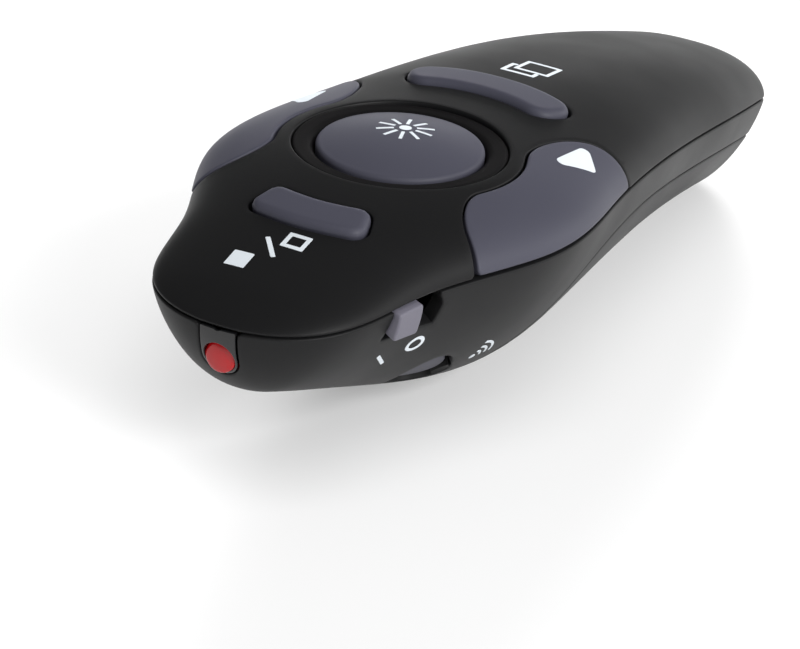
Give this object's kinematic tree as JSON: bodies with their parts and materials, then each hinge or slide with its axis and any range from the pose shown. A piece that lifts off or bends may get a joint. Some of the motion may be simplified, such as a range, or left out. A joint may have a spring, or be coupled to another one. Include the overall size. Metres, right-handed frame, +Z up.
{
  "type": "wireless presentation clicker",
  "caption": "Hand-held wireless presentation clicker: waisted two-shell body, round laser button in a ring of page keys, nose laser, power slide, sliding battery door and parked USB receiver.",
  "frame": {"origin": "on the desk under the middle of the body, midway between nose and tail", "axes": "+Z up from the desk, +Y towards the tail (the laser in the nose points to -Y), +X towards the flank with the power slide"},
  "size_m": [0.0392, 0.11, 0.0263],
  "materials": {
    "soft_black": "soft-touch, very fine grain",
    "key_grey": "fine satin",
    "ring_black": "satin gloss",
    "gloss_black": "gloss",
    "plunger_black": "moulded",
    "switch_steel": "stamped",
    "lens_red": "clear red",
    "brass": "turned",
    "board_green": "solder mask",
    "knob_grey": "fine satin",
    "lever_ivory": "moulded",
    "chip_black": "moulded",
    "steel": "nickel-plated",
    "tray_black": "moulded",
    "cell_sleeve": "printed sleeve, left bare",
    "cap_black": "satin",
    "tongue_white": "moulded"
  },
  "bodies": {
    "case": {"top_shell": "soft_black", "bottom_shell": "soft_black", "button_ring": "ring_black", "key_switches": "switch_steel", "nose_insert": "gloss_black", "laser_lens": "lens_red", "laser_barrel": "brass", "laser_board": "board_green", "slide_switch": "switch_steel", "connect_switch": "switch_steel", "main_board": "board_green", "radio_chip": "chip_black", "crystal": "steel", "battery_tray": "tray_black", "battery_contacts": "steel", "battery_springs": "steel", "left_cell": "cell_sleeve", "right_cell": "cell_sleeve", "shell_screws": "steel", "board_screws": "steel"},
    "door": {"battery_door": "soft_black"},
    "laser_key": {"laser_button": "key_grey", "laser_plunger": "plunger_black"},
    "screen_key": {"screen_key": "key_grey", "screen_plunger": "plunger_black"},
    "window_key": {"window_key": "key_grey", "window_plunger": "plunger_black"},
    "left_page_key": {"left_page_key": "key_grey", "left_plunger": "plunger_black"},
    "right_page_key": {"right_page_key": "key_grey", "right_plunger": "plunger_black"},
    "power_slide": {"slide_knob": "knob_grey", "slide_lever": "lever_ivory"},
    "connect_key": {"connect_button": "key_grey", "connect_plunger": "plunger_black"},
    "receiver": {"receiver_cap": "cap_black", "receiver_plug": "steel", "receiver_tongue": "tongue_white"}
  },
  "joints": [
    {"name": "laser_press", "type": "slide", "parent": "case", "child": "laser_key", "axis": [0, 0, -1], "range_m": [0, 0.0004], "stiffness_N_per_m": 1500},
    {"name": "screen_press", "type": "slide", "parent": "case", "child": "screen_key", "axis": [0, 0, -1], "range_m": [0, 0.0004], "stiffness_N_per_m": 1500},
    {"name": "window_press", "type": "slide", "parent": "case", "child": "window_key", "axis": [0, 0, -1], "range_m": [0, 0.0004], "stiffness_N_per_m": 1500},
    {"name": "left_page_press", "type": "slide", "parent": "case", "child": "left_page_key", "axis": [0, 0, -1], "range_m": [0, 0.0004], "stiffness_N_per_m": 1500},
    {"name": "right_page_press", "type": "slide", "parent": "case", "child": "right_page_key", "axis": [0, 0, -1], "range_m": [0, 0.0004], "stiffness_N_per_m": 1500},
    {"name": "connect_press", "type": "slide", "parent": "case", "child": "connect_key", "axis": [0, 0, 1], "range_m": [0, 0.0004], "stiffness_N_per_m": 1500},
    {"name": "power_slide_move", "type": "slide", "parent": "case", "child": "power_slide", "axis": [0, 1, 0], "range_m": [0, 0.003]},
    {"name": "battery_door_slide", "type": "slide", "parent": "case", "child": "door", "axis": [0, 0.9772, -0.2124], "range_m": [0, 0.012]},
    {"name": "receiver_slide", "type": "slide", "parent": "case", "child": "receiver", "axis": [0, 0.9772, -0.2124], "range_m": [0, 0.02]}
  ]
}
